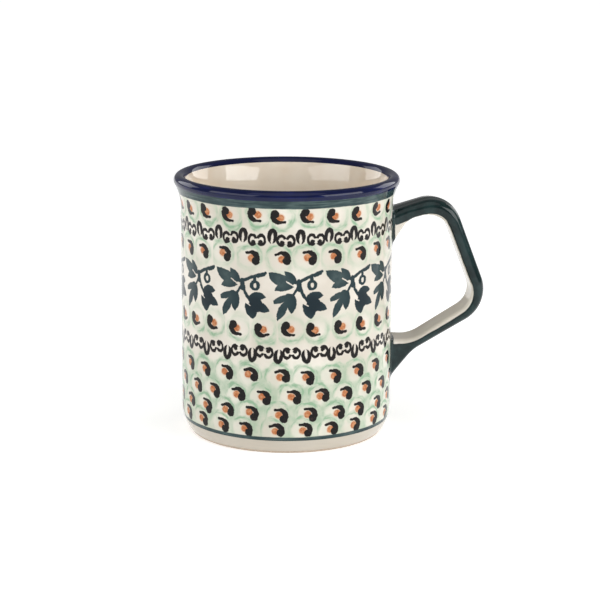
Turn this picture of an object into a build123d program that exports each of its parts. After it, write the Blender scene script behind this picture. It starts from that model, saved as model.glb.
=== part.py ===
from build123d import *
import os

# A straight-sided stoneware mug with a flared lip and an angular strap handle.
# Millimetres, +Z up. The origin is the centre of the foot ring, where it rests, and the handle points along +X.
# Two fired clay pieces, the cup and the strap, are joined with slip and then coated with glaze.
# The cup's coats are all cut from one skin, so each coat meets the clay and its neighbours face to face.

# Driving dimensions of the cup, over the glaze
HEIGHT = 96.0
WALL_RADIUS = 39.0
WELL_RADIUS = 34.9
LIP_RADIUS = 41.5
FLOOR_HEIGHT = 6.6
GLAZE = 0.35

# The lip is a full round, and two large arcs run into it from the straight walls
LIP_ROUND = 2.2
FLARE_START = 84.0

# The wall draws in towards a foot ring around a shallow recess
HEEL_START = 10.0
HEEL_RADIUS = 36.4
HEEL_HEIGHT = 1.0
FOOT_OUTER_RADIUS = 35.6
FOOT_INNER_RADIUS = 31.6
RECESS_HEIGHT = 2.2
RECESS_SLOPE = 1.4
FLOOR_CORNER = 9.0

# Heights at which one coat ends and the next begins
RIM_COAT_OUTSIDE = 92.6
RIM_COAT_INSIDE = 94.2
WALL_COAT_BOTTOM = 5.3

# Driving dimensions of the handle, over the glaze
STRAP_WIDTH = 13.0
STRAP_BACK_EDGE = 2.9
STRAP_PALM_EDGE = 1.2
STRAP_ROOT = WALL_RADIUS - 4.0
EDGE_TOLERANCE = 0.02

# Corners of the strap's side view as (x, z), from the upper joint round to the lower, and the round at each
BACK_CORNERS = [(STRAP_ROOT, 81.6), (60.3, 89.4), (77.0, 46.0), (46.8, 28.9), (STRAP_ROOT, 14.9)]
BACK_ROUNDS = [12.0, 13.5, 15.0]
PALM_CORNERS = [(STRAP_ROOT, 65.0), (44.3, 79.0), (57.2, 82.4), (70.5, 48.2), (46.8, 33.6), (STRAP_ROOT, 33.9)]
PALM_ROUNDS = [8.0, 9.0, 8.0, 13.0]

# The slip collar around each end of the strap: its lowest and highest points on the wall, and its flare
UPPER_JOINT = (70.4, 82.6)
LOWER_JOINT = (20.2, 34.6)
SLIP_MARGIN = 1.4
SLIP_HEIGHT = 2.4
SLIP_CORNER = 4.0
SLIP_TAPER = 32.0
SLIP_BURY = 3.0


def point(x, z):
    """A point of the XZ plane."""
    return Vector(x, 0, z)


def cup_section():
    """The cup's half cross-section over the glaze, in the XZ plane."""
    lip = point(LIP_RADIUS - LIP_ROUND, HEIGHT - LIP_ROUND)
    rise = lip.Z - FLARE_START

    # Both flare arcs leave their wall vertically and touch the lip's circle
    outward = lip.X - WALL_RADIUS
    outer_arc = (rise**2 + outward**2 - LIP_ROUND**2) / (2 * (LIP_ROUND + outward))
    inward = lip.X - WELL_RADIUS
    inner_arc = (rise**2 + inward**2 - LIP_ROUND**2) / (2 * (inward - LIP_ROUND))
    outer_centre = point(WALL_RADIUS + outer_arc, FLARE_START)
    inner_centre = point(WELL_RADIUS + inner_arc, FLARE_START)
    outer_touch = lip + (outer_centre - lip).normalized() * LIP_ROUND
    inner_touch = lip + (lip - inner_centre).normalized() * LIP_ROUND

    recess_top = point(0, RECESS_HEIGHT)
    recess_edge = point(FOOT_INNER_RADIUS - RECESS_SLOPE, RECESS_HEIGHT)
    foot_inner = point(FOOT_INNER_RADIUS, 0)
    foot_outer = point(FOOT_OUTER_RADIUS, 0)
    heel = point(HEEL_RADIUS, HEEL_HEIGHT)
    wall_low = point(WALL_RADIUS, HEEL_START)
    wall_high = point(WALL_RADIUS, FLARE_START)
    well_high = point(WELL_RADIUS, FLARE_START)
    corner_start = point(WELL_RADIUS, FLOOR_HEIGHT + FLOOR_CORNER)
    corner_end = point(WELL_RADIUS - FLOOR_CORNER, FLOOR_HEIGHT)
    floor_middle = point(0, FLOOR_HEIGHT)
    lines = [
        Line(recess_top, recess_edge),
        Line(recess_edge, foot_inner),
        Line(foot_inner, foot_outer),
        Line(foot_outer, heel),
        TangentArc(wall_low, heel, tangent=(0, 0, -1)),
        Line(wall_low, wall_high),
        TangentArc(wall_high, outer_touch, tangent=(0, 0, 1)),
        ThreePointArc(outer_touch, point(lip.X, HEIGHT), inner_touch),
        TangentArc(well_high, inner_touch, tangent=(0, 0, 1)),
        Line(well_high, corner_start),
        TangentArc(corner_start, corner_end, tangent=(0, 0, -1)),
        Line(corner_end, floor_middle),
        Line(floor_middle, recess_top),
    ]
    return make_face(Wire(lines))


def zone(x_low, x_high, z_low, z_high):
    """A rectangle of the XZ plane, used to cut one coat out of the skin."""
    corners = [point(x_low, z_low), point(x_high, z_low), point(x_high, z_high), point(x_low, z_high)]
    return make_face(Polyline(*corners, close=True))


def cup_coats():
    """The cross-sections of the clay and of the four coats on it."""
    section = cup_section()
    skin = section - offset(section, -GLAZE)
    lip_middle = LIP_RADIUS - LIP_ROUND
    above = HEIGHT + GLAZE
    beyond = LIP_RADIUS + GLAZE
    below_floor = FLOOR_HEIGHT - 2 * GLAZE

    # The wall's middle parts outside from inside: one line up the straight walls, and one further out in the flare
    middle = (WELL_RADIUS + WALL_RADIUS) / 2
    middle_in_flare = (middle + lip_middle) / 2
    outside_low = zone(middle, beyond, WALL_COAT_BOTTOM, FLARE_START)
    outside_high = zone(middle_in_flare, beyond, FLARE_START, RIM_COAT_OUTSIDE)
    rim_outside = zone(lip_middle, beyond, RIM_COAT_OUTSIDE, above)
    rim_inside = zone(0, lip_middle, RIM_COAT_INSIDE, above)
    inside_low = zone(0, middle, below_floor, FLARE_START)
    inside_high = zone(0, middle_in_flare, FLARE_START, RIM_COAT_INSIDE)
    foot = zone(HEEL_RADIUS - GLAZE, beyond, HEEL_HEIGHT, WALL_COAT_BOTTOM)
    areas = {
        "wall_glaze": outside_low + outside_high,
        "rim_glaze": rim_outside + rim_inside,
        "liner_glaze": inside_low + inside_high,
        "foot_glaze": foot,
    }
    coats = {name: skin & area for name, area in areas.items()}
    clay = section
    for coat in coats.values():
        clay = clay - coat
    return clay, coats


def turned(section):
    """A solid of revolution about the cup's axis."""
    return revolve(section, Axis.Z, 360)


def strap(inset):
    """The strap, with its surface the given depth under the glaze's, and its long edges rounded."""
    back = FilletPolyline(*[point(x, z) for x, z in BACK_CORNERS], radius=BACK_ROUNDS)
    palm = FilletPolyline(*[point(x, z) for x, z in PALM_CORNERS], radius=PALM_ROUNDS)
    ends = [Line(back @ 0, palm @ 0), Line(back @ 1, palm @ 1)]
    side = make_face(Wire([*back.edges(), *palm.edges(), *ends]))
    if inset:
        side = offset(side, -inset)
    half_width = STRAP_WIDTH / 2 - inset
    slab = extrude(side, half_width, dir=(0, 1, 0), both=True)

    # The long edges follow the back's outline or the palm's, half the strap's width from it
    for outline, edge_round in ((back, STRAP_BACK_EDGE), (palm, STRAP_PALM_EDGE)):
        reach = half_width + inset + EDGE_TOLERANCE
        sides = slab.edges().filter_by(lambda e: abs((e @ 0.5).Y) > half_width - EDGE_TOLERANCE)
        long_edges = sides.filter_by(lambda e: outline.distance_to(e @ 0.5) < reach)
        slab = fillet(long_edges, edge_round - inset)
    return slab


def slip_collar(joint):
    """A rounded collar standing on the wall around one end of the strap, wider at the wall."""
    low, high = joint
    tall = high - low + 2 * SLIP_MARGIN
    wide = STRAP_WIDTH + 2 * SLIP_MARGIN
    middle = point(WALL_RADIUS - GLAZE, (low + high) / 2)
    outline = Plane(middle, x_dir=(0, 1, 0), z_dir=(1, 0, 0)) * RectangleRounded(wide, tall, SLIP_CORNER)
    buried = extrude(outline, -SLIP_BURY)
    flared = extrude(outline, SLIP_HEIGHT + GLAZE, taper=SLIP_TAPER)
    return buried + flared


def build():
    """Every piece of the mug, by name."""
    clay, coats = cup_coats()
    pieces = {name: turned(section) for name, section in coats.items()}
    body = turned(clay)
    cup = Solid.make_cylinder(WALL_RADIUS - GLAZE, HEIGHT) + body

    # The strap stops at the clay wall, the collars fill the corner around it, and its coat stops at the collars
    handle = strap(GLAZE) - cup
    upper_slip = slip_collar(UPPER_JOINT) - cup - handle
    lower_slip = slip_collar(LOWER_JOINT) - cup - handle
    handle_glaze = strap(0) - strap(GLAZE) - cup - upper_slip - lower_slip
    pieces["wall_glaze"] = pieces["wall_glaze"] - handle - handle_glaze - upper_slip - lower_slip

    pieces["stoneware_body"] = body
    pieces["handle"] = handle
    pieces["handle_glaze"] = handle_glaze
    pieces["upper_joint_slip"] = upper_slip
    pieces["lower_joint_slip"] = lower_slip
    return pieces


os.makedirs("parts", exist_ok=True)
for name, piece in build().items():
    print(name, round(piece.volume), "mm3,", len(piece.solids()), "solid, valid", piece.is_valid)
    export_step(piece, f"parts/{name}.step")
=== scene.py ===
import math

import bmesh
import bpy
import numpy as np
from mathutils import Matrix, Vector


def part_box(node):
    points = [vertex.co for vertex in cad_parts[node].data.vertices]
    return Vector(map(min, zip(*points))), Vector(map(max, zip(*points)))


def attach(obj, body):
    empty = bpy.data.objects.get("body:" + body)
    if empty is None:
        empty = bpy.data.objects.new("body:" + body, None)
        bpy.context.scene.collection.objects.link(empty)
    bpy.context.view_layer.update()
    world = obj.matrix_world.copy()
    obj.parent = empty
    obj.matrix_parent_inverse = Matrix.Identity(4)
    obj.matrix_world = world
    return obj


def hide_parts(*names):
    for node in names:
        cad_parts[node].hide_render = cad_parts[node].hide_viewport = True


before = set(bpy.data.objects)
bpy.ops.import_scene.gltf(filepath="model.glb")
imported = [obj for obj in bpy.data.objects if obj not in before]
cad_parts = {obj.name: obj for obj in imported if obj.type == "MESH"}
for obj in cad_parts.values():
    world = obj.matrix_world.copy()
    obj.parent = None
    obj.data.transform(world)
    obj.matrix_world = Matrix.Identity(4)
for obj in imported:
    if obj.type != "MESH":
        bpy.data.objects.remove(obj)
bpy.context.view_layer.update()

# Sizes are in millimetres here, and each mesh is written in metres.
MM = 0.001
NODE_BOX = {node: [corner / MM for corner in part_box(node)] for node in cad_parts}

# The cup. The heights where one coat ends and the next begins come from the frame.
GLAZE = 0.35
HEIGHT = NODE_BOX["rim_glaze"][1].z
LIP_RADIUS = NODE_BOX["rim_glaze"][1].y
RIM_BOTTOM = NODE_BOX["wall_glaze"][1].z
RIM_INSIDE = NODE_BOX["liner_glaze"][1].z
FLOOR_HEIGHT = NODE_BOX["liner_glaze"][0].z + GLAZE
WALL_BOTTOM = NODE_BOX["wall_glaze"][0].z
WALL_RADIUS = 39.0
WELL_RADIUS = 34.9
LIP_ROUND = 2.2
FLARE_START = 84.0
HEEL_START = 10.0
HEEL = (36.4, 1.0)
FLOOR_CORNER = 9.0

# The bare foot ring and the recess inside it
FOOT_OUTER = 35.6
FOOT_INNER = 31.6
FOOT_ROUND = 0.5
RECESS_HEIGHT = 2.2
RECESS_RADIUS = 30.2
RECESS_ROUND = 1.0

# How finely the cup is drawn: sides round the axis, and steps along the stretches of its outline
TURNED_SIDES = 288
ARC_STEPS = 16
LIP_STEPS = 24
WALL_STEPS = 50
WELL_STEPS = 40
FOOT_STEP = 0.35
CUT_MARGIN = 0.02

# The strap: the corners of its side view as (x, z), from the upper joint round to the lower, and the round
# at each, for its back and for its palm face
STRAP_WIDTH = 13.0
STRAP_ROOT = 35.0
BACK_CORNERS = [(STRAP_ROOT, 81.6), (60.3, 89.4), (77.0, 46.0), (46.8, 28.9), (STRAP_ROOT, 14.9)]
BACK_ROUNDS = [12.0, 13.5, 15.0]
PALM_CORNERS = [
    (STRAP_ROOT, 65.0),
    (44.3, 79.0),
    (57.2, 82.4),
    (70.5, 48.2),
    (46.8, 33.6),
    (STRAP_ROOT, 33.9),
]
PALM_ROUNDS = [8.0, 9.0, 8.0, 13.0]
STRAP_STEP = 0.3

# The strap's section: the rounds of its edges, the back's dome, and the steps along each stretch of it
BACK_EDGE = 2.9
PALM_EDGE = 1.8
BACK_DOME = 0.35
FACE_STEPS = 9
SIDE_STEPS = 3
BACK_EDGE_STEPS = 9
PALM_EDGE_STEPS = 5

# The strap starts inside the wall, and widens over its last stretch before the wall
BURIED_ROOT = 36.6
ROOT_FLARE = 0.9
ROOT_FLARE_REACH = 7.0

# The green's edge above the palm, on the top stretch and past it, and where along the strap that changes
PAINT_LIFT = (0.3, 1.3)
TOP_PAINT_END = 0.5
TOP_PAINT_FADE = 0.16
# How wide the green band is on the top stretch, where the strap is deeper than the band
GREEN_BAND = 5.4

# The slip fillet: how far it reaches along the strap and over the wall, and how proud its edge is
SLIP_REACH = 1.6
SLIP_EDGE = 0.02
SLIP_STEPS = 8


# ---------------------------------------------------------------- outlines


def arc(centre, radius, start, end, steps):
    """Points of an arc in the XZ plane, with angles in degrees."""
    angles = np.radians(np.linspace(start, end, steps + 1))
    return np.column_stack([centre[0] + radius * np.cos(angles), centre[1] + radius * np.sin(angles)])


def line(start, end, steps):
    share = np.linspace(0, 1, steps + 1)[:, None]
    return np.array(start) * (1 - share) + np.array(end) * share


def rounded(corners, rounds, step):
    """A path through corners with a round at each inner one, as a list of stretches: line, arc, line, ..."""
    corners = [np.array(c, float) for c in corners]
    stretches = []
    start = corners[0]
    for before, corner, after, radius in zip(corners, corners[1:], corners[2:], rounds):
        arriving = (corner - before) / np.linalg.norm(corner - before)
        leaving = (after - corner) / np.linalg.norm(after - corner)
        turn = math.atan2(arriving[0] * leaving[1] - arriving[1] * leaving[0], arriving @ leaving)
        cut = radius * math.tan(abs(turn) / 2)
        touch = corner - arriving * cut
        side = np.array([-arriving[1], arriving[0]]) * math.copysign(1, turn)
        centre = touch + side * radius
        first = math.degrees(math.atan2(*(touch - centre)[::-1]))
        steps = max(4, round(radius * abs(turn) / step))
        stretches.append(line(start, touch, max(2, round(np.linalg.norm(touch - start) / step))))
        stretches.append(arc(centre, radius, first, first + math.degrees(turn), steps))
        start = stretches[-1][-1]
    last = max(2, round(np.linalg.norm(corners[-1] - start) / step))
    stretches.append(line(start, corners[-1], last))
    return stretches


def joined(stretches):
    """One path from stretches that meet end to end."""
    return np.vstack([stretches[0]] + [s[1:] for s in stretches[1:]])


def side_of(path):
    """The unit normal on the right of a path at each of its points: the glazed side of the cup's outline."""
    along = np.gradient(path, axis=0)
    along /= np.linalg.norm(along, axis=1)[:, None]
    return np.column_stack([along[:, 1], -along[:, 0]])


def cup_curve():
    """The cup's glazed outline from the heel, over the lip, to the middle of the floor."""
    lip = (LIP_RADIUS - LIP_ROUND, HEIGHT - LIP_ROUND)
    rise = lip[1] - FLARE_START
    outward = lip[0] - WALL_RADIUS
    inward = lip[0] - WELL_RADIUS
    outer_arc = (rise**2 + outward**2 - LIP_ROUND**2) / (2 * (LIP_ROUND + outward))
    inner_arc = (rise**2 + inward**2 - LIP_ROUND**2) / (2 * (inward - LIP_ROUND))
    outer_centre = (WALL_RADIUS + outer_arc, FLARE_START)
    inner_centre = (WELL_RADIUS + inner_arc, FLARE_START)
    outer_turn = math.degrees(math.atan2(rise, outer_centre[0] - lip[0]))
    inner_turn = math.degrees(math.atan2(rise, inner_centre[0] - lip[0]))
    draw_in = WALL_RADIUS - HEEL[0]
    drop = HEEL_START - HEEL[1]
    heel_arc = (draw_in**2 + drop**2) / (2 * draw_in)
    heel_turn = math.degrees(math.asin(drop / heel_arc))
    floor_corner = (WELL_RADIUS - FLOOR_CORNER, FLOOR_HEIGHT + FLOOR_CORNER)
    return joined(
        [
            arc((WALL_RADIUS - heel_arc, HEEL_START), heel_arc, -heel_turn, 0, ARC_STEPS),
            line((WALL_RADIUS, HEEL_START), (WALL_RADIUS, FLARE_START), WALL_STEPS),
            arc(outer_centre, outer_arc, 180, 180 - outer_turn, ARC_STEPS),
            arc(lip, LIP_ROUND, -outer_turn, 180 - inner_turn, LIP_STEPS),
            arc(inner_centre, inner_arc, 180 - inner_turn, 180, ARC_STEPS),
            line((WELL_RADIUS, FLARE_START), (WELL_RADIUS, floor_corner[1]), WELL_STEPS),
            arc(floor_corner, FLOOR_CORNER, 0, -90, ARC_STEPS),
            line((floor_corner[0], FLOOR_HEIGHT), (0, FLOOR_HEIGHT), ARC_STEPS),
        ]
    )


def reaches(path):
    """How far along a path each of its points is."""
    return np.concatenate([[0], np.cumsum(np.linalg.norm(np.diff(path, axis=0), axis=1))])


def reach_at_height(path, height, last=False):
    """How far along the path it first, or last, passes a height."""
    reach = reaches(path)
    above = path[:, 1] >= height
    crossings = np.nonzero(above[1:] != above[:-1])[0]
    i = crossings[-1 if last else 0]
    share = (height - path[i, 1]) / (path[i + 1, 1] - path[i, 1])
    return reach[i] + share * (reach[i + 1] - reach[i])


# ---------------------------------------------------------------- meshes


def piece(name, points, faces, material, slot, replaces, sharp=38):
    """A mesh piece, given in millimetres, that rides with the mug and stands for its CAD nodes."""
    mesh = bpy.data.meshes.new(name)
    mesh.from_pydata([tuple(p * MM for p in point) for point in points], [], faces)
    mesh.validate()
    shaped = bmesh.new()
    shaped.from_mesh(mesh)
    bmesh.ops.recalc_face_normals(shaped, faces=shaped.faces)
    shaped.to_mesh(mesh)
    shaped.free()
    mesh.shade_smooth()
    mesh.set_sharp_from_angle(angle=math.radians(sharp))
    mesh.materials.append(material)
    made = bpy.data.objects.new(name, mesh)
    bpy.context.scene.collection.objects.link(made)
    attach(made, "root")
    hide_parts(*replaces)
    return made


ON_AXIS = 1e-6


def turned(outline):
    """Points and faces of a closed outline turned about the mug's axis. It may start and end on the axis."""
    points, rings, faces = [], [], []
    for radius, height in outline:
        if radius < ON_AXIS:
            rings.append([len(points)] * TURNED_SIDES)
            points.append((0, 0, height))
            continue
        rings.append([len(points) + i for i in range(TURNED_SIDES)])
        for i in range(TURNED_SIDES):
            angle = 2 * math.pi * i / TURNED_SIDES
            points.append((radius * math.cos(angle), radius * math.sin(angle), height))
    on_axis = outline[0][0] < ON_AXIS and outline[-1][0] < ON_AXIS
    pairs = list(zip(rings, rings[1:])) + ([] if on_axis else [(rings[-1], rings[0])])
    for lower, upper in pairs:
        for i in range(TURNED_SIDES):
            j = (i + 1) % TURNED_SIDES
            corners = list(dict.fromkeys([lower[i], lower[j], upper[j], upper[i]]))
            if len(corners) > 2:
                faces.append(corners)
    return points, faces


def tube(rings, capped):
    """Points and faces of rings of points joined one after another, and closed by caps or into a loop."""
    count = len(rings[0])
    points = [tuple(p) for ring in rings for p in ring]
    faces = []
    loops = len(rings) - 1 if capped else len(rings)
    for r in range(loops):
        for k in range(count):
            a = r * count + k
            b = r * count + (k + 1) % count
            shift = (r + 1) % len(rings) * count - r * count
            faces.append((a, b, b + shift, a + shift))
    if capped:
        faces.append(tuple(reversed(range(count))))
        faces.append(tuple(range((len(rings) - 1) * count, len(rings) * count)))
    return points, faces


def mark(made, name, values):
    """A number kept at every point of a piece, for its glaze to read."""
    attribute = made.data.attributes.new(name, "FLOAT", "POINT")
    attribute.data.foreach_set("value", np.array(values, np.float32))


# ---------------------------------------------------------------- shader sums


class Reading:
    """A value that varies over the surface. Sums on it make the maths nodes, so a pattern is arithmetic."""

    def __init__(self, tree, socket):
        self.tree = tree
        self.socket = socket

    def sum(self, operation, *others, clamp=False):
        node = self.tree.nodes.new("ShaderNodeMath")
        node.operation = operation
        node.use_clamp = clamp
        for socket, value in zip(node.inputs, (self, *others)):
            feed(socket, value)
        return Reading(self.tree, node.outputs[0])

    def __add__(self, other):
        return self.sum("ADD", other)

    def __sub__(self, other):
        return self.sum("SUBTRACT", other)

    def __mul__(self, other):
        return self.sum("MULTIPLY", other)

    def __truediv__(self, other):
        return self.sum("DIVIDE", other)

    def __neg__(self):
        return self.sum("MULTIPLY", -1.0)

    def __rsub__(self, other):
        return (-self) + other

    __radd__ = __add__
    __rmul__ = __mul__

    def least(self, other):
        return self.sum("MINIMUM", other)

    def most(self, other):
        return self.sum("MAXIMUM", other)

    def size(self):
        return self.sum("ABSOLUTE")

    def clamped(self):
        return self.sum("ADD", 0.0, clamp=True)

    def step(self, low, high, to_low=0.0, to_high=1.0):
        """A smooth step from to_low at low to to_high at high."""
        node = self.tree.nodes.new("ShaderNodeMapRange")
        node.interpolation_type = "SMOOTHSTEP"
        labels = ("Value", "From Min", "From Max", "To Min", "To Max")
        for label, value in zip(labels, (self, low, high, to_low, to_high)):
            feed(node.inputs[label], value)
        return Reading(self.tree, node.outputs["Result"])

    def vector(self, operation, *others, scale=None, output="Vector"):
        node = self.tree.nodes.new("ShaderNodeVectorMath")
        node.operation = operation
        for socket, value in zip(node.inputs, (self, *others)):
            feed(socket, value)
        if scale is not None:
            feed(node.inputs["Scale"], scale)
        return Reading(self.tree, node.outputs[output])

    def split(self):
        node = self.tree.nodes.new("ShaderNodeSeparateXYZ")
        feed(node.inputs[0], self)
        return [Reading(self.tree, output) for output in node.outputs]


def feed(socket, value):
    """Links a reading to a socket, or sets a plain value on it."""
    if isinstance(value, Reading):
        value.tree.links.new(value.socket, socket)
    elif isinstance(value, (tuple, list)) and len(value) == 3 and socket.type == "RGBA":
        socket.default_value = (*value, 1.0)
    else:
        socket.default_value = value


def joined_axes(tree, x, y, z=0.0):
    node = tree.nodes.new("ShaderNodeCombineXYZ")
    for socket, value in zip(node.inputs, (x, y, z)):
        feed(socket, value)
    return Reading(tree, node.outputs[0])


def mixed(tree, share, first, second):
    """A colour between two others."""
    node = tree.nodes.new("ShaderNodeMix")
    node.data_type = "RGBA"
    node.clamp_factor = True
    inputs = [s for s in node.inputs if s.type == "RGBA"]
    feed(node.inputs[0], share)
    feed(inputs[0], first)
    feed(inputs[1], second)
    return Reading(tree, next(s for s in node.outputs if s.type == "RGBA"))


def noise(place, scale, detail=2.0, roughness=0.5, output="Factor"):
    """Smooth noise from 0 to 1, with about scale humps for each unit of place."""
    node = place.tree.nodes.new("ShaderNodeTexNoise")
    feed(node.inputs["Vector"], place)
    feed(node.inputs["Scale"], scale)
    feed(node.inputs["Detail"], detail)
    feed(node.inputs["Roughness"], roughness)
    found = {"Factor": node.outputs[0], "Color": node.outputs[1]}
    return Reading(place.tree, found[output])


SOCKETS = {float: "NodeSocketFloat", tuple: "NodeSocketVector", list: "NodeSocketColor"}


class Group:
    """A shader node group. Its inputs are given with resting values: a number, a (vector) or a [colour]."""

    def __init__(self, name, inputs, outputs):
        self.tree = bpy.data.node_groups.new(name, "ShaderNodeTree")
        for label, value in inputs.items():
            socket = self.tree.interface.new_socket(label, in_out="INPUT", socket_type=SOCKETS[type(value)])
            socket.default_value = (*value, 1.0) if isinstance(value, list) else value
        for label, value in outputs.items():
            self.tree.interface.new_socket(label, in_out="OUTPUT", socket_type=SOCKETS[type(value)])
        entry = self.tree.nodes.new("NodeGroupInput")
        self.inputs = [Reading(self.tree, entry.outputs[label]) for label in inputs]

    def give(self, **values):
        """Puts the group's results on its outputs, and closes it."""
        end = self.tree.nodes.new("NodeGroupOutput")
        for label, value in values.items():
            feed(end.inputs[label.replace("_", " ")], value)
        return self.tree


def place_group(tree, group, **values):
    """Puts a group in a material, with its own values, and returns its outputs by name."""
    node = tree.nodes.new("ShaderNodeGroup")
    node.node_tree = group
    for label, value in values.items():
        feed(node.inputs[label.replace("_", " ")], value)
    return {output.name: Reading(tree, output) for output in node.outputs}


# ---------------------------------------------------------------- shared glaze effects


def around_and_up_group():
    """Where a point is: its turn about the axis, with the seam at the handle, and its height and place."""
    group = Group("Around And Up", {"Place": (0, 0, 0)}, {"Turn": 0.0, "Up": 0.0, "Millimetres": (0, 0, 0)})
    (place,) = group.inputs
    scaled = place.vector("SCALE", scale=1 / MM)
    x, y, z = scaled.split()
    turn = (-y).sum("ARCTAN2", -x) * (0.5 / math.pi)
    return group.give(Turn=turn, Up=z, Millimetres=scaled)


def glaze_skin_group():
    """The slow waves and tiny pits of a fired glaze, as a height, and a roughness that varies a little."""
    inputs = {"Millimetres": (0, 0, 0), "Waves": 0.5, "Pits": 0.3, "Roughness": 0.08}
    group = Group("Glaze Skin", inputs, {"Height": 0.0, "Roughness": 0.0})
    place, waves, pits, roughness = group.inputs
    slow = noise(place, 0.11, detail=1.0) * waves
    pitted = noise(place, 2.1, detail=2.0).step(0.66, 0.78) * pits
    cloudy = noise(place, 0.35, detail=3.0)
    return group.give(Height=slow - pitted * 0.35, Roughness=roughness + cloudy * 0.05 + pitted * 0.1)


def clay_fleck_group():
    """Iron flecks that show through the glaze: a few dark specks with a soft edge."""
    inputs = {"Millimetres": (0, 0, 0), "Spacing": 3.0, "Size": 0.2, "Amount": 0.3}
    group = Group("Clay Fleck", inputs, {"Mask": 0.0})
    place, spacing, size, amount = group.inputs
    cells = group.tree.nodes.new("ShaderNodeTexVoronoi")
    feed(cells.inputs["Vector"], place)
    feed(cells.inputs["Scale"], spacing.sum("POWER", -1.0))
    distance = Reading(group.tree, cells.outputs["Distance"]) * spacing
    chance, grain, _ = Reading(group.tree, cells.outputs["Color"]).split()
    near = (size * (grain + 0.4) - distance).step(-0.06, 0.06)
    kept = (amount - chance).step(-0.02, 0.02)
    return group.give(Mask=near * kept * (grain * 0.5 + 0.4))


def brushed_pigment_group():
    """Pigment laid with a loaded brush: two tones in streaks along one direction, with darker pools."""
    inputs = {
        "Millimetres": (0, 0, 0),
        "Stretch": (1, 1, 1),
        "Deep": [0.02, 0.04, 0.05],
        "Thin": [0.1, 0.15, 0.15],
        "Balance": 0.5,
    }
    group = Group("Brushed Pigment", inputs, {"Color": [0, 0, 0], "Load": 0.0})
    place, stretch, deep, thin, balance = group.inputs
    streaks = noise(place.vector("MULTIPLY", stretch), 1.0, detail=3.0, roughness=0.6)
    pools = noise(place, 0.16, detail=2.0)
    load = (streaks * 0.6 + pools * 0.4 - balance).step(-0.2, 0.2)
    return group.give(Color=mixed(group.tree, load, thin, deep), Load=load)


def sponge_edge_group():
    """The small shift across and up that makes a stamp's edge ragged, in millimetres."""
    group = Group("Sponge Edge", {"Millimetres": (0, 0, 0), "Reach": 0.8}, {"Across": 0.0, "Up": 0.0})
    place, reach = group.inputs
    across, up, _ = noise(place, 0.9, detail=3.0, roughness=0.65, output="Color").split()
    return group.give(Across=(across - 0.5) * reach, Up=(up - 0.5) * reach)


def painted_band_group():
    """A band painted round the wall between two heights, with a brush-wide waver in its edges."""
    inputs = {"Millimetres": (0, 0, 0), "Up": 0.0, "Low": 0.0, "High": 1.0, "Waver": 0.2, "Edge": 0.1}
    group = Group("Painted Band", inputs, {"Mask": 0.0})
    place, up, low, high, waver, edge = group.inputs
    slow = (noise(place, 0.12, detail=2.0) - 0.5) * 2.0
    quick = (noise(place, 1.2) - 0.5) * 0.5
    moved = up + (slow + quick) * waver
    above = (moved - low) / edge
    below = (high - moved) / edge
    return group.give(Mask=above.step(-0.5, 0.5) * below.step(-0.5, 0.5))


# ---------------------------------------------------------------- stamps


def stamp_row_group():
    """A row of stamps round the wall, set by hand, so each one strays and leans a little. It gives where a
    point is from the middle of its stamp, random numbers for that stamp, and how far across its cell it is."""
    inputs = {
        "Turn": 0.0,
        "Up": 0.0,
        "Count": 24.0,
        "Start": 0.0,
        "Height": 50.0,
        "Stray": 0.5,
        "Lean": 0.2,
        "Seed": 1.0,
        "Turned Over": 0.0,
    }
    outputs = {"Point": (0, 0, 0), "Chance": (0, 0, 0), "Across Cell": 0.0}
    group = Group("Stamp Row", inputs, outputs)
    turn, up, count, start, height, stray, lean, seed, over = group.inputs
    cells = turn * count - start + 0.5
    cell = cells.sum("FLOOR")
    number = cell.sum("FLOORED_MODULO", count)
    random = group.tree.nodes.new("ShaderNodeTexWhiteNoise")
    random.noise_dimensions = "3D"
    feed(random.inputs["Vector"], joined_axes(group.tree, number + 0.5, seed, 0.5))
    chance = Reading(group.tree, random.outputs["Color"])
    first, second, third = chance.split()
    inside = (cells - cell - 0.5) * (2 * math.pi * WALL_RADIUS) / count
    across = inside - (first - 0.5) * stray * 2.0
    rise = up - height - (second - 0.5) * stray
    turned_by = (third - 0.5) * lean * 2.0 + over * math.pi
    node = group.tree.nodes.new("ShaderNodeVectorRotate")
    node.rotation_type = "Z_AXIS"
    feed(node.inputs["Vector"], joined_axes(group.tree, across, rise))
    feed(node.inputs["Angle"], turned_by)
    return group.give(Point=Reading(group.tree, node.outputs[0]), Chance=chance, Across_Cell=inside)


def disc(point, centre, radius):
    """The distance outside a disc, negative inside it."""
    return point.vector("DISTANCE", (*centre, 0), output="Value") - radius


def oval(point, centre, radii):
    """The distance outside an oval, in shares of its radii, negative inside it."""
    moved = point.vector("SUBTRACT", (*centre, 0))
    shares = moved.vector("MULTIPLY", (1 / radii[0], 1 / radii[1], 0))
    return shares.vector("LENGTH", output="Value") - 1.0


def stroke(point, start, end, half_width):
    """The distance outside a straight stroke with round ends."""
    run = Vector((end[0] - start[0], end[1] - start[1], 0))
    from_start = point.vector("SUBTRACT", (*start, 0))
    per_length = tuple(run / run.length_squared)
    share = from_start.vector("DOT_PRODUCT", per_length, output="Value").clamped()
    nearest = from_start.tree.nodes.new("ShaderNodeVectorMath")
    nearest.operation = "SCALE"
    nearest.inputs[0].default_value = run
    feed(nearest.inputs["Scale"], share)
    offset = from_start.vector("DISTANCE", Reading(point.tree, nearest.outputs[0]), output="Value")
    return offset - half_width


def blade(point, tip, base, left, right):
    """The distance outside a leaf blade: two arcs from tip to base, bulging left and right of that line."""
    tip, base = Vector(tip), Vector(base)
    run = base - tip
    normal = Vector((-run.y, run.x)).normalized()
    parts = []
    for side, bulge in ((normal, left), (-normal, right)):
        radius = (run.length_squared / 4 + bulge**2) / (2 * bulge)
        centre = (tip + base) / 2 - side * (radius - bulge)
        parts.append(disc(point, tuple(centre), radius))
    return parts[0].most(parts[1])


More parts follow.
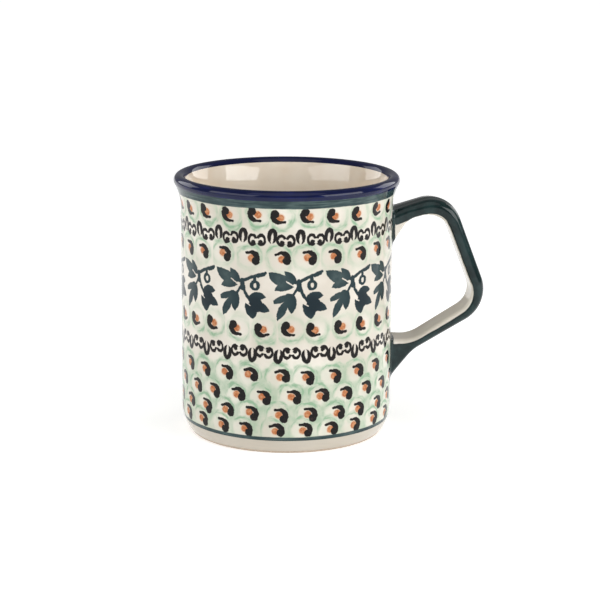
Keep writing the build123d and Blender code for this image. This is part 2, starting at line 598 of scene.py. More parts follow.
# A stamp's edge fades over this, from just outside it to just inside
CRISP = (0.1, -0.1)

# The eye's ink: a crescent and what bites it, its flat foot, its round head and its tail
EYE_CRESCENT = ((0.85, -0.1), 2.78)
EYE_BITE = ((-0.6, -0.9), 2.42)
EYE_FOOT = -1.6
EYE_HEAD = ((2.0, -1.15), 1.5)
EYE_TAIL = ((-1.35, 1.78), (0.8, 1.95), 0.5)
# Its dot, and the pale halo round the dot
EYE_DOT = (0.15, -0.05)
EYE_DOT_RADIUS = 1.32
EYE_DOT_EDGE = (-0.14, 0.16)
EYE_HALO_RADIUS = 1.5
# Its green ring: the middle, how far out it is and how much it wobbles, and the clear middle it leaves
EYE_RING_MIDDLE = (-0.5, -0.1)
EYE_RING_RADIUS = 4.4
EYE_RING_WOBBLE = 4.2
EYE_CLEAR_MIDDLE = (-1.3, -0.3)
EYE_CLEAR_EDGE = (4.2, 2.2)


def peacock_eye_group():
    """The eye stamp: a black comma round an orange dot, on a pale middle ringed with sponged green."""
    inputs = {
        "Point": (0, 0, 0),
        "Ragged": (0, 0, 0),
        "Chance": (0, 0, 0),
        "Millimetres": (0, 0, 0),
        "Across Cell": 0.0,
    }
    outputs = {"Ink": 0.0, "Dot": 0.0, "Halo": 0.0, "Wash": 0.0, "Clear": 0.0}
    group = Group("Peacock Eye", inputs, outputs)
    point, ragged, chance, place, cell = group.inputs
    edged = point.vector("ADD", ragged)
    first, second, third = chance.split()

    # The dot is dabbed on its own, so it strays from the comma
    dot_shift = joined_axes(group.tree, (second - 0.5) * 0.7, (first - 0.5) * 0.6)
    dot_point = point.vector("ADD", dot_shift).vector("ADD", ragged.vector("SCALE", scale=0.7))
    from_dot = disc(dot_point, EYE_DOT, 0)
    dot = (EYE_DOT_RADIUS - from_dot).step(*EYE_DOT_EDGE)
    halo = (from_dot - EYE_HALO_RADIUS).size().step(0.3, 0.05) * 0.75

    crescent = disc(edged, *EYE_CRESCENT).most(-disc(edged, *EYE_BITE))
    _, edged_y, _ = edged.split()
    crescent = crescent.most(EYE_FOOT - edged_y)
    comma = crescent.least(disc(edged, *EYE_HEAD)).least(stroke(edged, *EYE_TAIL))

    # The green is a loose ring, heavier above, that breaks up into the brush's lines round a clear middle
    ring_point = point.vector("SUBTRACT", (*EYE_RING_MIDDLE, 0))
    ring_x, ring_y, _ = ring_point.split()
    ring_radius = ring_point.vector("LENGTH", output="Value")
    wobble = (noise(place, 0.2, detail=3.0) - 0.5) * EYE_RING_WOBBLE
    from_ring = (ring_radius + wobble - EYE_RING_RADIUS).size()
    heavy = (ring_y / (ring_radius + 0.5) * 0.4 + 0.6).clamped()
    brush_place = joined_axes(group.tree, ring_radius * 1.1, ring_y * 0.3, ring_x * 0.3 + third * 9.0)
    brush_lines = noise(brush_place, 1.0, detail=3.0).step(0.25, 0.75, 0.25, 1.2)
    wash = from_ring.step(1.5, 0.1) * heavy * brush_lines
    haze = from_ring.step(3.4, 0.4) * noise(place, 0.3, detail=2.0) * 0.5
    thinner_between = cell.size().step(5.2, 4.0, 0.7, 1.0)
    clear = (disc(point, EYE_CLEAR_MIDDLE, 0) + wobble * 0.5).step(*EYE_CLEAR_EDGE)
    return group.give(
        Ink=comma.step(*CRISP),
        Dot=dot,
        Halo=halo,
        Wash=wash * thinner_between + haze,
        Clear=clear,
    )


# The lace's arch and its slot, as (middle, radii)
ARCH = ((0, 0), (1.82, 2.7))
ARCH_SLOT = ((0, -1.05), (0.455, 1.95))


def lace_arch_group():
    """The lace's arch stamp: a tall horseshoe with a narrow slot and tapering legs."""
    group = Group("Lace Arch", {"Point": (0, 0, 0), "Ragged": (0, 0, 0)}, {"Ink": 0.0})
    point, ragged = group.inputs
    edged = point.vector("ADD", ragged)
    outside = oval(edged, *ARCH) * ARCH[1][0]
    inside_slot = oval(edged, *ARCH_SLOT) * -ARCH_SLOT[1][0]
    return group.give(Ink=outside.most(inside_slot).step(*CRISP))


# The lace's curls: the oval line of the right one, half its width, the mouth that opens it, and its bud
CURL = ((1.62, 0), (1.32, 1.68))
CURL_MIDDLE_RADIUS = 1.45
CURL_HALF_WIDTH = 0.52
CURL_MOUTH = ((0.25, -0.4), 0.85)
CURL_BUD = ((1.3, -0.78), 0.84)


def lace_curls_group():
    """The lace's curl stamp: two open scrolls, back to back, each ending in a bud."""
    group = Group("Lace Curls", {"Point": (0, 0, 0), "Ragged": (0, 0, 0)}, {"Ink": 0.0})
    point, ragged = group.inputs
    x, y, _ = point.vector("ADD", ragged).split()
    half = joined_axes(group.tree, x.size(), y)
    line_of_curl = oval(half, *CURL).size() * CURL_MIDDLE_RADIUS - CURL_HALF_WIDTH
    scroll = line_of_curl.most(-disc(half, *CURL_MOUTH))
    return group.give(Ink=scroll.least(disc(half, *CURL_BUD)).step(*CRISP))


# The ivy sprig, from the joint of its stem. Each blade is its tip, its base and its bulge on either side.
IVY_BLADES = [
    ((-11.4, 4.9), (-1.2, 0.9), 1.35, 3.0),
    ((-5.1, 5.3), (-0.8, 0.4), 1.5, 1.3),
    ((-8.9, -1.7), (-1.7, -0.5), 2.4, 0.8),
    ((-10.5, -6.7), (-1.8, -3.6), 1.5, 1.0),
    ((-8.2, -12.9), (-4.0, -5.0), 1.6, 1.4),
    ((-2.9, -10.4), (-2.2, -2.9), 1.8, 1.6),
    ((9.1, -4.3), (2.4, -5.2), 1.0, 2.2),
    ((10.4, -9.5), (3.2, -6.6), 1.7, 1.9),
    ((4.2, -12.6), (3.8, -6.5), 1.7, 2.0),
    ((4.2, -12.6), (1.3, -6.9), 1.2, 1.2),
]
# The hearts of the two lower leaves, where their blades meet
IVY_HEARTS = [((5.3, -7.5), 2.75), ((-3.7, -4.7), 1.9)]
# Stems as their two ends and half their width, and the slits that the stamp leaves bare
IVY_STEMS = [
    ((-0.3, 0.9), (3.4, 2.8), 0.62),
    ((3.4, 2.8), (8.6, 4.6), 0.58),
    ((5.9, 3.4), (8.1, 4.1), 0.72),
    ((4.7, 2.9), (4.8, 1.2), 0.62),
    ((0, 1.3), (0.1, -1.6), 0.9),
    ((-0.2, -0.5), (-1.9, -3.2), 0.5),
    ((0.5, -0.6), (1.2, -3.2), 0.55),
    ((1.2, -3.2), (3.2, -6.0), 0.62),
]
IVY_SLITS = [((-4.5, 1.5), (-1.7, -0.3)), ((-2.6, 0.3), (-1.5, -0.5)), ((1.4, -6.7), (3.2, -7.8))]
IVY_SLIT_HALF_WIDTH = 0.2
# The tendril's ring, and the hole in it
IVY_RING = ((4.85, -0.2), 1.95)
IVY_RING_HOLE = ((4.9, -0.2), (0.577, 0.9375))
# Where the pigment lies thin, as a middle, how far that reaches, and how light it is; and the one dark leaf
IVY_LIGHTS = [
    ((-6.5, 1.8), (6.0, 0.5), 0.75),
    ((-6.5, -5.5), (5.0, 0.5), 0.35),
    ((-6.6, -11.6), (3.0, 0.3), 0.3),
]
IVY_DARK = ((5.0, -7.5), (6.0, 1.0), 0.35)


def ivy_sprig_group():
    """One ivy stamp: three lobed leaves on a stem with a tendril ring."""
    inputs = {"Point": (0, 0, 0), "Ragged": (0, 0, 0)}
    group = Group("Ivy Sprig", inputs, {"Leaf": 0.0, "Tone": 0.0})
    point, ragged = group.inputs
    edged = point.vector("ADD", ragged)
    shape = disc(edged, *IVY_HEARTS[0]).least(disc(edged, *IVY_HEARTS[1]))
    for tip, base, left, right in IVY_BLADES:
        shape = shape.least(blade(edged, tip, base, left, right))
    for start, end in IVY_SLITS:
        shape = shape.most(-stroke(edged, start, end, IVY_SLIT_HALF_WIDTH))
    for start, end, half_width in IVY_STEMS:
        shape = shape.least(stroke(edged, start, end, half_width))
    inside_hole = oval(edged, *IVY_RING_HOLE) * -0.75
    shape = shape.least(disc(edged, *IVY_RING).most(inside_hole))

    light = None
    for middle, reach, amount in IVY_LIGHTS:
        patch = disc(point, middle, 0).step(*reach) * amount
        light = patch if light is None else light.most(patch)
    middle, reach, amount = IVY_DARK
    tone = light - disc(point, middle, 0).step(*reach) * amount
    return group.give(Leaf=shape.step(*CRISP), Tone=tone)


# ---------------------------------------------------------------- materials

CREAM = (0.635, 0.58, 0.50)
CREAM_LIGHT = (0.79, 0.745, 0.665)
BARE_CREAM = (0.73, 0.61, 0.47)
BARE_CREAM_LIGHT = (0.84, 0.76, 0.64)
# Painted shade: the darker cream over the foot, near the floor
FOOT_PAINTED_SHADE = (0.48, 0.44, 0.375)
WASH_PALE = (0.51, 0.61, 0.46)
WASH_DEEP = (0.26, 0.42, 0.27)
INK = (0.005, 0.004, 0.004)
INK_THIN = (0.03, 0.018, 0.015)
ORANGE = (0.43, 0.135, 0.045)
ORANGE_THIN = (0.56, 0.27, 0.13)
HALO = (0.70, 0.53, 0.39)
LEAF_DARK = (0.006, 0.017, 0.024)
LEAF = (0.016, 0.036, 0.042)
LEAF_LIGHT = (0.062, 0.095, 0.095)
SLATE = (0.022, 0.044, 0.048)
SLATE_THIN = (0.10, 0.15, 0.145)
GREEN_DEEP = (0.003, 0.012, 0.013)
GREEN_THIN = (0.014, 0.036, 0.036)
COBALT_DEEP = (0.002, 0.005, 0.04)
COBALT_THIN = (0.008, 0.014, 0.10)
CLAY = (0.55, 0.47, 0.38)
CLAY_DARK = (0.40, 0.32, 0.25)
FLECK = (0.16, 0.10, 0.07)

# How much of the room a glaze mirrors, where 0.5 is plain glass: the wall, the dark pigments, and bare cream
GLOSS = 0.2
DARK_GLOSS = 0.32
CREAM_GLOSS = 0.6
BUMP_DEPTH = 0.1


class Glaze:
    """A material under way: its tree, where it is in millimetres, and a Principled shader to feed."""

    def __init__(self, name):
        self.material = bpy.data.materials.new(name)
        self.material.use_nodes = True
        self.tree = self.material.node_tree
        self.tree.nodes.clear()
        coordinates = self.tree.nodes.new("ShaderNodeTexCoord")
        place = Reading(self.tree, coordinates.outputs["Object"])
        found = place_group(self.tree, AROUND_AND_UP, Place=place)
        self.turn = found["Turn"]
        self.up = found["Up"]
        self.place = found["Millimetres"]

    def use(self, group, **values):
        return place_group(self.tree, group, **values)

    def mix(self, share, first, second):
        return mixed(self.tree, share, first, second)

    def attribute(self, name):
        node = self.tree.nodes.new("ShaderNodeAttribute")
        node.attribute_name = name
        return Reading(self.tree, node.outputs["Fac"])

    def finish(self, colour, waves=0.5, pits=0.3, roughness=0.05, relief=None, gloss=GLOSS):
        """Feeds the shader with the colour and the glaze's own skin, and closes the material."""
        skin = self.use(GLAZE_SKIN, Millimetres=self.place, Waves=waves, Pits=pits, Roughness=roughness)
        height = skin["Height"] if relief is None else skin["Height"] + relief
        bump = self.tree.nodes.new("ShaderNodeBump")
        bump.inputs["Strength"].default_value = 1.0
        bump.inputs["Distance"].default_value = BUMP_DEPTH * MM
        feed(bump.inputs["Height"], height)
        shader = self.tree.nodes.new("ShaderNodeBsdfPrincipled")
        shader.inputs["Specular IOR Level"].default_value = gloss
        feed(shader.inputs["Base Color"], colour)
        feed(shader.inputs["Roughness"], skin["Roughness"])
        self.tree.links.new(bump.outputs["Normal"], shader.inputs["Normal"])
        end = self.tree.nodes.new("ShaderNodeOutputMaterial")
        self.tree.links.new(shader.outputs["BSDF"], end.inputs["Surface"])
        return self.material


AROUND_AND_UP = around_and_up_group()
GLAZE_SKIN = glaze_skin_group()
CLAY_FLECK = clay_fleck_group()
BRUSHED_PIGMENT = brushed_pigment_group()
SPONGE_EDGE = sponge_edge_group()
PAINTED_BAND = painted_band_group()
STAMP_ROW = stamp_row_group()
PEACOCK_EYE = peacock_eye_group()
LACE_ARCH = lace_arch_group()
LACE_CURLS = lace_curls_group()
IVY_SPRIG = ivy_sprig_group()


def cream_ground(glaze, amount=0.12, deep=CREAM, light=CREAM_LIGHT):
    """Clear glaze over pale clay: cream that drifts a little lighter and darker, with a few flecks."""
    drift = noise(glaze.place, 0.05, detail=3.0).step(0.3, 0.7)
    ground = glaze.mix(drift, deep, light)
    flecks = glaze.use(CLAY_FLECK, Millimetres=glaze.place, Spacing=4.0, Size=0.16, Amount=amount)
    return glaze.mix(flecks["Mask"], ground, FLECK)


# Rows of eyes, from the lip down: how many, where the first one is, their height, whether they are turned
# over, and how dense their green is
EYE_ROWS = [
    (25, 0.78, 86.75, True, 0.95),
    (24, 0.38, 72.3, False, 0.9),
    (25, 0.05, 46.3, True, 0.85),
    (24, 0.38, 29.1, False, 1.0),
    (24, 0.86, 21.6, False, 1.0),
    (24, 0.43, 15.05, False, 1.0),
    (24, 0.19, 9.4, False, 0.9),
]
# Rows of lace: how many, where the first arch is, the arches' height, and whether turned over
LACE_ROWS = [(24, 0.16, 79.85, False), (25, 0.62, 36.65, True)]
# How much lower than the arches the curls are
LACE_DROP = 1.35
# The ivy sprigs, and how far each leans to the side for each millimetre up
IVY_COUNT = 12
IVY_START = 0.06
IVY_HEIGHT = 62.4
IVY_SIZE = 0.975
IVY_SLANT = 0.164
# Where the pale green wash ends upwards, and the lowest and highest points of the painted bands
FIELD_TOP = (33.5, 31.0)
SLATE_BANDS = [(89.7, HEIGHT), (4.6, 6.75)]


def patterned_glaze():
    """The wall's decoration, stamped and painted row by row under clear glaze."""
    glaze = Glaze("patterned_glaze")
    tree = glaze.tree
    edge = glaze.use(SPONGE_EDGE, Millimetres=glaze.place, Reach=0.8)
    ragged = joined_axes(tree, edge["Across"], edge["Up"])
    colour = cream_ground(glaze)

    # The field below the lace is washed pale green before it is stamped
    uneven_up = glaze.up + (noise(glaze.place, 0.15, detail=3.0) - 0.5) * 4.0
    cloudy = noise(glaze.place, 0.25, detail=3.0).step(0.2, 0.8)
    field_wash = uneven_up.step(*FIELD_TOP) * (cloudy * 0.5 + 0.36)
    wash = ink = dot = halo = clear = None
    for number, (count, start, height, over, density) in enumerate(EYE_ROWS):
        row = glaze.use(STAMP_ROW, Turn=glaze.turn, Up=glaze.up, Count=count, Start=start, Height=height,
                        Stray=0.85, Lean=0.22, Seed=number * 3.0 + 1.0, Turned_Over=float(over))
        eye = glaze.use(PEACOCK_EYE, Point=row["Point"], Ragged=ragged, Chance=row["Chance"],
                        Millimetres=glaze.place, Across_Cell=row["Across Cell"])
        layers = (eye["Wash"] * density, eye["Ink"], eye["Dot"], eye["Halo"], eye["Clear"])
        if number:
            layers = [below.most(above) for below, above in zip((wash, ink, dot, halo, clear), layers)]
        wash, ink, dot, halo, clear = layers
    wash = wash.most(field_wash * (1.0 - clear * 0.68))
    for number, (count, start, height, over) in enumerate(LACE_ROWS):
        sign = -1 if over else 1
        for shift, group, drop in ((0.0, LACE_ARCH, 0.0), (0.5, LACE_CURLS, LACE_DROP * sign)):
            row = glaze.use(STAMP_ROW, Turn=glaze.turn, Up=glaze.up, Count=count, Start=start + shift,
                            Height=height - drop, Stray=0.35, Lean=0.16, Seed=number * 5.0 + shift + 40.0,
                            Turned_Over=float(over))
            stamp = glaze.use(group, Point=row["Point"], Ragged=ragged)
            ink = ink.most(stamp["Ink"])

    # The ivy leans over its neighbours, so the line between two sprigs slants
    slanted = glaze.turn + (glaze.up - IVY_HEIGHT) * (IVY_SLANT / (2 * math.pi * WALL_RADIUS))
    row = glaze.use(STAMP_ROW, Turn=slanted, Up=glaze.up, Count=IVY_COUNT, Start=IVY_START,
                    Height=IVY_HEIGHT, Stray=0.25, Lean=0.03, Seed=77.0)
    across, rise, _ = row["Point"].split()
    upright = joined_axes(tree, across - rise * IVY_SLANT, rise).vector("SCALE", scale=1 / IVY_SIZE)
    sprig = glaze.use(IVY_SPRIG, Point=upright, Ragged=ragged)

    wash_tone = wash.clamped()
    colour = glaze.mix(wash_tone * 0.95, colour, glaze.mix(wash_tone, WASH_PALE, WASH_DEEP))
    colour = glaze.mix(halo, colour, HALO)
    mottle = noise(glaze.place, 1.1, detail=2.0)
    colour = glaze.mix(dot, colour, glaze.mix(mottle.step(0.35, 0.7), ORANGE, ORANGE_THIN))
    colour = glaze.mix(ink, colour, glaze.mix(mottle.step(0.55, 0.8), INK, INK_THIN))
    leaf_tone = glaze.mix(sprig["Tone"].step(-0.35, 0.1), LEAF_DARK, LEAF)
    pooled = noise(glaze.place, 0.5, detail=3.0).step(0.3, 0.7) * 0.5 + 0.5
    leaf_tone = glaze.mix((sprig["Tone"] * pooled).clamped(), leaf_tone, LEAF_LIGHT)
    colour = glaze.mix(sprig["Leaf"], colour, leaf_tone)

    # Slate green bands under the lip and above the foot, painted on the wheel, so their streaks run round
    slate = glaze.use(BRUSHED_PIGMENT, Millimetres=glaze.place, Stretch=(0.12, 0.12, 2.2), Deep=SLATE,
                      Thin=SLATE_THIN, Balance=0.42)
    for low, high in SLATE_BANDS:
        band = glaze.use(PAINTED_BAND, Millimetres=glaze.place, Up=glaze.up, Low=low, High=high, Waver=0.25,
                         Edge=0.25)
        colour = glaze.mix(band["Mask"], colour, slate["Color"])
    return glaze.finish(colour)


def cobalt_glaze():
    """Deep cobalt over the lip, brushed in deep and thin streaks with darker pools."""
    glaze = Glaze("cobalt_glaze")
    brushed = glaze.use(BRUSHED_PIGMENT, Millimetres=glaze.place, Stretch=(0.1, 0.1, 1.6), Deep=COBALT_DEEP,
                        Thin=COBALT_THIN, Balance=0.36)
    return glaze.finish(brushed["Color"], waves=0.7, gloss=DARK_GLOSS)


# Painted shade: the cream is darkened below this height, over the foot near the floor
PAINTED_SHADE_BELOW = (6.2, 5.6)


def cream_glaze():
    """Clear glaze over the bare clay, inside the cup and on its foot, where painted shade darkens it near the
    floor.
    """
    glaze = Glaze("cream_glaze")
    ground = cream_ground(glaze, amount=0.3, deep=BARE_CREAM, light=BARE_CREAM_LIGHT)
    # Painted shade: the foot's cream darkens towards the floor
    ground = glaze.mix(glaze.up.step(*PAINTED_SHADE_BELOW) * 0.85, ground, FOOT_PAINTED_SHADE)
    return glaze.finish(ground, waves=0.4, roughness=0.02, gloss=CREAM_GLOSS)


def green_glaze():
    """The strap's coat: dark green brushed over its back and sides, and its palm face left cream. A thin line
    of green runs all round each joint too."""
    glaze = Glaze("green_glaze")
    brushed = glaze.use(BRUSHED_PIGMENT, Millimetres=glaze.place, Stretch=(0.25, 0.9, 0.25), Deep=GREEN_DEEP,
                        Thin=GREEN_THIN, Balance=0.46)
    inside_bare = glaze.attribute("bare") + (noise(glaze.place, 0.2, detail=3.0) - 0.5) * 0.5
    off_wall = glaze.attribute("root") + (noise(glaze.place, 0.4, detail=2.0) - 0.5) * 0.6
    bare = inside_bare.step(-0.15, 0.15) * off_wall.step(0.9, 1.2)
    colour = glaze.mix(bare, brushed["Color"], cream_ground(glaze, amount=0.3))
    return glaze.finish(colour, waves=0.8, gloss=DARK_GLOSS)


def fired_clay():
    """Bare stoneware on the foot ring: matt, sandy and speckled."""
    glaze = Glaze("fired_clay")
    grain = noise(glaze.place, 1.6, detail=4.0, roughness=0.7)
    colour = glaze.mix(grain.step(0.3, 0.7), CLAY_DARK, CLAY)
    flecks = glaze.use(CLAY_FLECK, Millimetres=glaze.place, Spacing=1.5, Size=0.18, Amount=0.35)
    colour = glaze.mix(flecks["Mask"], colour, FLECK)
    return glaze.finish(colour, waves=0.2, pits=1.0, roughness=0.75, relief=grain * 0.8)


# ---------------------------------------------------------------- the cup


def skin_between(curve, low, high):
    """The closed outline of a coat: the glazed outline between two reaches, and back under the coat."""
    under = curve - side_of(curve) * GLAZE
    reach = reaches(curve)
    both = np.hstack([curve, under])
    inner = both[(reach > low + CUT_MARGIN) & (reach < high - CUT_MARGIN)]
    ends = [[np.interp(at, reach, both[:, axis]) for axis in range(4)] for at in (low, high)]
    rows = np.vstack([ends[:1], inner, ends[1:]])
    return np.vstack([rows[:, :2], rows[::-1, 2:]])


def make_cup(materials):
    """The clay cup and its four coats."""
    curve = cup_curve()
    # The outline passes a height first on the outside of the cup, and last on the inside
    wall_cut = reach_at_height(curve, WALL_BOTTOM)
    rim_cut = reach_at_height(curve, RIM_BOTTOM)
    liner_cut = reach_at_height(curve, RIM_INSIDE, last=True)
    coats = [
        ("foot_coat", 0, wall_cut, "cream_glaze", "foot_glaze"),
        ("wall_coat", wall_cut, rim_cut, "patterned_glaze", "wall_glaze"),
        ("rim_coat", rim_cut, liner_cut, "cobalt_glaze", "rim_glaze"),
        ("liner_coat", liner_cut, reaches(curve)[-1], "cream_glaze", "liner_glaze"),
    ]
    for name, low, high, slot, node in coats:
        outline = skin_between(curve, low, high)
        outline[:, 0] = np.maximum(outline[:, 0], 0)
        piece(name, *turned(outline), materials[slot], slot, [node])

    # The clay under the coats, down to the bare foot ring and the recess inside it
    under = curve - side_of(curve) * GLAZE
    recess = [(0, RECESS_HEIGHT), (RECESS_RADIUS, RECESS_HEIGHT)]
    ring = [(FOOT_INNER, 0), (FOOT_OUTER, 0), HEEL]
    foot = joined(rounded(recess + ring, [RECESS_ROUND, FOOT_ROUND, FOOT_ROUND], FOOT_STEP))
    clay = np.vstack([foot, under])
    clay[:, 0] = np.maximum(clay[:, 0], 0)
    piece("cup_clay", *turned(clay), materials["fired_clay"], "fired_clay", ["stoneware_body"])


# ---------------------------------------------------------------- the handle


def even(path, count):
    """A path's points spread evenly along it."""
    reach = reaches(path)
    at = np.linspace(0, reach[-1], count)
    return np.column_stack([np.interp(at, reach, path[:, axis]) for axis in (0, 1)])


def strap_stations():
    """Pairs of points, on the palm face and on the back, all along the strap."""
    back = rounded(BACK_CORNERS, BACK_ROUNDS, STRAP_STEP)
    palm = rounded(PALM_CORNERS, PALM_ROUNDS, STRAP_STEP)
    # Stretches of the back and of the palm that lie opposite each other, and how many pairs each has. The palm
    # has one corner more, in the flare under the upper joint.
    zones = [
        (back[0:1], palm[0:3], 40),
        (back[1:2], palm[3:4], 24),
        (back[2:3], palm[4:5], 30),
        (back[3:4], palm[5:6], 24),
        (back[4:5], palm[6:7], 24),
        (back[5:7], palm[7:9], 40),
    ]
    palms, backs = [], []
    for back_part, palm_part, count in zones:
        first = 1 if palms else 0
        backs.append(even(joined(back_part), count)[first:])
        palms.append(even(joined(palm_part), count)[first:])
    return np.vstack(palms), np.vstack(backs)


def strap_section(thick, flare, inset):
    """The strap's section as (across, lift) points: a flat palm face with small rounds, a domed back with
    large ones, all of it drawn in by an inset."""
    half = STRAP_WIDTH / 2 - inset + ROOT_FLARE * flare
    small = PALM_EDGE - inset
    large = BACK_EDGE - inset
    low = inset
    high = thick - inset - BACK_DOME
    palm = line((small - half, low), (half - small, low), FACE_STEPS)
    right_palm = arc((half - small, low + small), small, -90, 0, PALM_EDGE_STEPS)
    side = line((half, low + small), (half, high - large), SIDE_STEPS)
    right_back = arc((half - large, high - large), large, 0, 90, BACK_EDGE_STEPS)
    back = line((half - large, high), (large - half, high), FACE_STEPS)
    back[:, 1] += BACK_DOME * np.sin(np.linspace(0, math.pi, len(back))) ** 2
    left_back = arc((large - half, high - large), large, 90, 180, BACK_EDGE_STEPS)
    left_side = side[::-1] * (-1, 1)
    left_palm = arc((small - half, low + small), small, 180, 270, PALM_EDGE_STEPS)
    return joined([palm, right_palm, side, right_back, back, left_back, left_side, left_palm])[:-1]


def strap_rings(inset):
    """The strap's rings of points from the upper joint round to the lower, and how far each point is inside
    what the green leaves bare: the palm, a little of the sides, and the flare under the upper joint."""
    rings, bares = [], []
    palms, backs = strap_stations()
    for number, (palm, back) in enumerate(zip(palms, backs)):
        root = min(palm[0], back[0])
        if root < BURIED_ROOT:
            continue
        thick = np.linalg.norm(back - palm)
        rise = (back - palm) / thick
        flare = np.clip(1 - (root - WALL_RADIUS) / ROOT_FLARE_REACH, 0, 1) ** 2
        section = strap_section(thick, flare, inset)
        across, lift = section.T
        flat = palm + rise * lift[:, None]
        rings.append(np.column_stack([flat[:, 0], across, flat[:, 1]]))
        past_top = np.clip((number / len(palms) - TOP_PAINT_END) / TOP_PAINT_FADE, 0, 1)
        bare = PAINT_LIFT[0] * (1 - past_top) + PAINT_LIFT[1] * past_top - lift
        if past_top < 0.5:
            from_back = np.linalg.norm(flat[:, None] - backs[None], axis=2).min(axis=1)
            bare = np.maximum(bare, from_back - GREEN_BAND)
        bares.append(bare)
    return np.array(rings), np.array(bares)


def from_wall(points):
    """How far points stand off the wall."""
    return np.hypot(points[..., 0], points[..., 1]) - WALL_RADIUS


def make_strap(materials):
    """The clay strap, its coat, and the slip at both its ends."""
    rings, bares = strap_rings(0.0)
    under, under_bares = strap_rings(GLAZE)
    shell = np.concatenate([rings, under[::-1]])
    green = materials["green_glaze"]
    coat = piece("strap_coat", *tube(shell, capped=False), green, "green_glaze", ["handle_glaze"])
    mark(coat, "bare", np.concatenate([bares, under_bares[::-1]]).ravel())
    mark(coat, "root", from_wall(shell).ravel())
    piece("strap_clay", *tube(under, capped=True), materials["fired_clay"], "fired_clay", ["handle"])
    make_slip("upper_slip", rings, bares, "upper_joint_slip", materials)
    make_slip("lower_slip", rings[::-1], bares[::-1], "lower_joint_slip", materials)


def make_slip(name, rings, bares, node, materials):
    """A soft fillet of slip all round one end of the strap, between the strap and the wall."""
    sides, side_bares = [], []
    count = rings.shape[1]
    for k in range(count):
        trail = rings[:, k]
        standing = from_wall(trail)
        leaves = int(np.argmax(standing > 0))
        share = standing[leaves - 1] / (standing[leaves - 1] - standing[leaves])
        at_wall = trail[leaves - 1] + (trail[leaves] - trail[leaves - 1]) * share
        along = trail[leaves + 2] - at_wall
        along /= np.linalg.norm(along)
        on_strap = at_wall + along * SLIP_REACH
        beside = rings[leaves, (k + 1) % count] - rings[leaves, k - 1]
        outward = np.cross(beside, along)
        outward /= np.linalg.norm(outward)
        middle = rings[leaves].mean(axis=0)
        outward *= math.copysign(1, outward @ (rings[leaves, k] - middle))
        radial = np.array([at_wall[0], at_wall[1], 0]) / np.hypot(at_wall[0], at_wall[1])
        aside = outward - radial * (outward @ radial)
        aside /= np.linalg.norm(aside)
        on_wall = at_wall + aside * SLIP_REACH
        on_wall[:2] *= (WALL_RADIUS + SLIP_EDGE) / np.hypot(*on_wall[:2])
        on_strap = on_strap + outward * SLIP_EDGE
        # A hollow curve from the strap to the wall, bent towards the corner, and then back under both
        t = np.linspace(0, 1, SLIP_STEPS + 1)[:, None]
        hollow = on_strap * (1 - t) ** 2 + at_wall * 2 * t * (1 - t) + on_wall * t**2
        in_corner = at_wall - radial * GLAZE - aside * GLAZE
        sides.append(np.vstack([hollow, on_wall - radial * GLAZE, in_corner, on_strap - outward * GLAZE]))
        side_bares.append([bares[leaves, k]] * len(sides[-1]))
    made = piece(name, *tube(sides, capped=False), materials["green_slip"], "green_slip", [node])
    mark(made, "bare", np.array(side_bares).ravel())
    mark(made, "root", from_wall(np.array(sides)).ravel())


# ---------------------------------------------------------------- stage

ROOM_LIGHT = 0.27
# The floor glows a little, and more far from the mug, where the softboxes don't reach it
FLOOR_GLOW = (0.42, 0.42, 0.42)
FAR_FLOOR_GLOW = (0.66, 0.66, 0.66)
FAR_FLOOR = (0.55, 1.25)
FLOOR_SIZE = 30
FLOOR_WHITE = (0.93, 0.93, 0.925)
FLOOR_ROUGHNESS = 0.6
# The even light from above the front: which way it shines, its power, and how soft it is in degrees
SKYLIGHT = ((0.05, 0.5, -0.85), 0.55, 60)
# Softboxes round the mug: degrees to the right of the front, degrees up, width and height in metres, and
# radiance
SOFTBOX_DISTANCE = 0.9
SOFTBOXES = {
    "right_softbox": (54, 20, 0.7, 0.42, 4.3),
    "left_softbox": (-62, 23, 0.85, 0.42, 2.3),
    "back_right_softbox": (122, 22, 0.5, 0.4, 2.6),
    "back_left_softbox": (-132, 22, 0.5, 0.4, 2.2),
}


def make_stage():
    """A wide pale floor."""
    bpy.ops.mesh.primitive_plane_add(size=FLOOR_SIZE)
    floor = bpy.context.object
    floor.name = "floor"
    material = bpy.data.materials.new("studio_floor")
    material.use_nodes = True
    tree = material.node_tree
    coordinates = tree.nodes.new("ShaderNodeTexCoord")
    from_mug = Reading(tree, coordinates.outputs["Object"]).vector("LENGTH", output="Value")
    shader = tree.nodes["Principled BSDF"]
    glow = mixed(tree, from_mug.step(*FAR_FLOOR), FLOOR_GLOW, FAR_FLOOR_GLOW)
    feed(shader.inputs["Base Color"], FLOOR_WHITE)
    feed(shader.inputs["Roughness"], FLOOR_ROUGHNESS)
    feed(shader.inputs["Emission Color"], glow)
    feed(shader.inputs["Emission Strength"], 1.0)
    floor.data.materials.append(material)


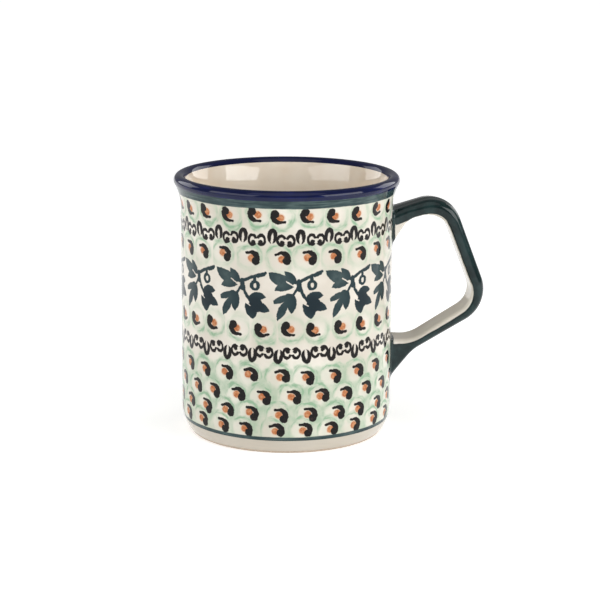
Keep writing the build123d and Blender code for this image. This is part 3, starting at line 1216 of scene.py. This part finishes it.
def make_lights():
    """A white studio: a skylight, softboxes, and an even, dimmer room that looks white to the camera."""
    world = bpy.data.worlds.new("studio")
    bpy.context.scene.world = world
    world.use_nodes = True
    tree = world.node_tree
    room = tree.nodes["Background"]
    room.inputs["Color"].default_value = (1, 1, 1, 1)
    room.inputs["Strength"].default_value = ROOM_LIGHT
    backdrop = tree.nodes.new("ShaderNodeBackground")
    backdrop.inputs["Color"].default_value = (1, 1, 1, 1)
    backdrop.inputs["Strength"].default_value = 1.0
    path = tree.nodes.new("ShaderNodeLightPath")
    chosen = tree.nodes.new("ShaderNodeMixShader")
    tree.links.new(path.outputs["Is Camera Ray"], chosen.inputs[0])
    tree.links.new(room.outputs[0], chosen.inputs[1])
    tree.links.new(backdrop.outputs[0], chosen.inputs[2])
    tree.links.new(chosen.outputs[0], tree.nodes["World Output"].inputs["Surface"])
    direction, power, softness = SKYLIGHT
    sky = bpy.data.lights.new("skylight", "SUN")
    sky.energy = power
    sky.angle = math.radians(softness)
    hung = bpy.data.objects.new("skylight", sky)
    bpy.context.scene.collection.objects.link(hung)
    hung.rotation_euler = Vector(direction).to_track_quat("-Z", "Y").to_euler()
    middle = Vector((0, 0, HEIGHT / 2 * MM))
    for name, (right, up, wide, tall, radiance) in SOFTBOXES.items():
        light = bpy.data.lights.new(name, "AREA")
        light.shape = "RECTANGLE"
        light.size = wide
        light.size_y = tall
        light.energy = radiance * math.pi * wide * tall
        lamp = bpy.data.objects.new(name, light)
        bpy.context.scene.collection.objects.link(lamp)
        right, up = math.radians(right), math.radians(up)
        out = Vector((math.sin(right) * math.cos(up), -math.cos(right) * math.cos(up), math.sin(up)))
        lamp.location = middle + out * SOFTBOX_DISTANCE
        lamp.rotation_euler = (-out).to_track_quat("-Z", "Y").to_euler()


CAMERA_DISTANCE = 690.2
CAMERA_HEIGHT = 208.5
# Degrees round the mug from the front, down, aside, and of tilt
CAMERA_ANGLES = (5.0, 13.075, 0.418, 0.2578)
CAMERA_LENS = 114.33
CAMERA_SENSOR = 36.0


def make_camera():
    """Looks at the mug from a little above, with the handle at the right, turned slightly away."""
    distance = CAMERA_DISTANCE * MM
    height = CAMERA_HEIGHT * MM
    around, down, aside, tilt = (math.radians(angle) for angle in CAMERA_ANGLES)
    camera_data = bpy.data.cameras.new("camera")
    camera_data.lens = CAMERA_LENS
    camera_data.sensor_width = CAMERA_SENSOR
    camera = bpy.data.objects.new("camera", camera_data)
    bpy.context.scene.collection.objects.link(camera)
    where = Matrix.Translation((-distance * math.sin(around), -distance * math.cos(around), height))
    turn = Matrix.Rotation(-(around + aside), 4, "Z") @ Matrix.Rotation(math.pi / 2 - down, 4, "X")
    camera.matrix_world = where @ turn @ Matrix.Rotation(tilt, 4, "Z")
    bpy.context.scene.camera = camera


MATERIALS = {
    "patterned_glaze": patterned_glaze(),
    "cobalt_glaze": cobalt_glaze(),
    "cream_glaze": cream_glaze(),
    "green_glaze": green_glaze(),
    "fired_clay": fired_clay(),
}
MATERIALS["green_slip"] = MATERIALS["green_glaze"]
make_cup(MATERIALS)
make_strap(MATERIALS)
make_stage()
make_lights()
make_camera()
bpy.context.scene.view_settings.view_transform = "Standard"
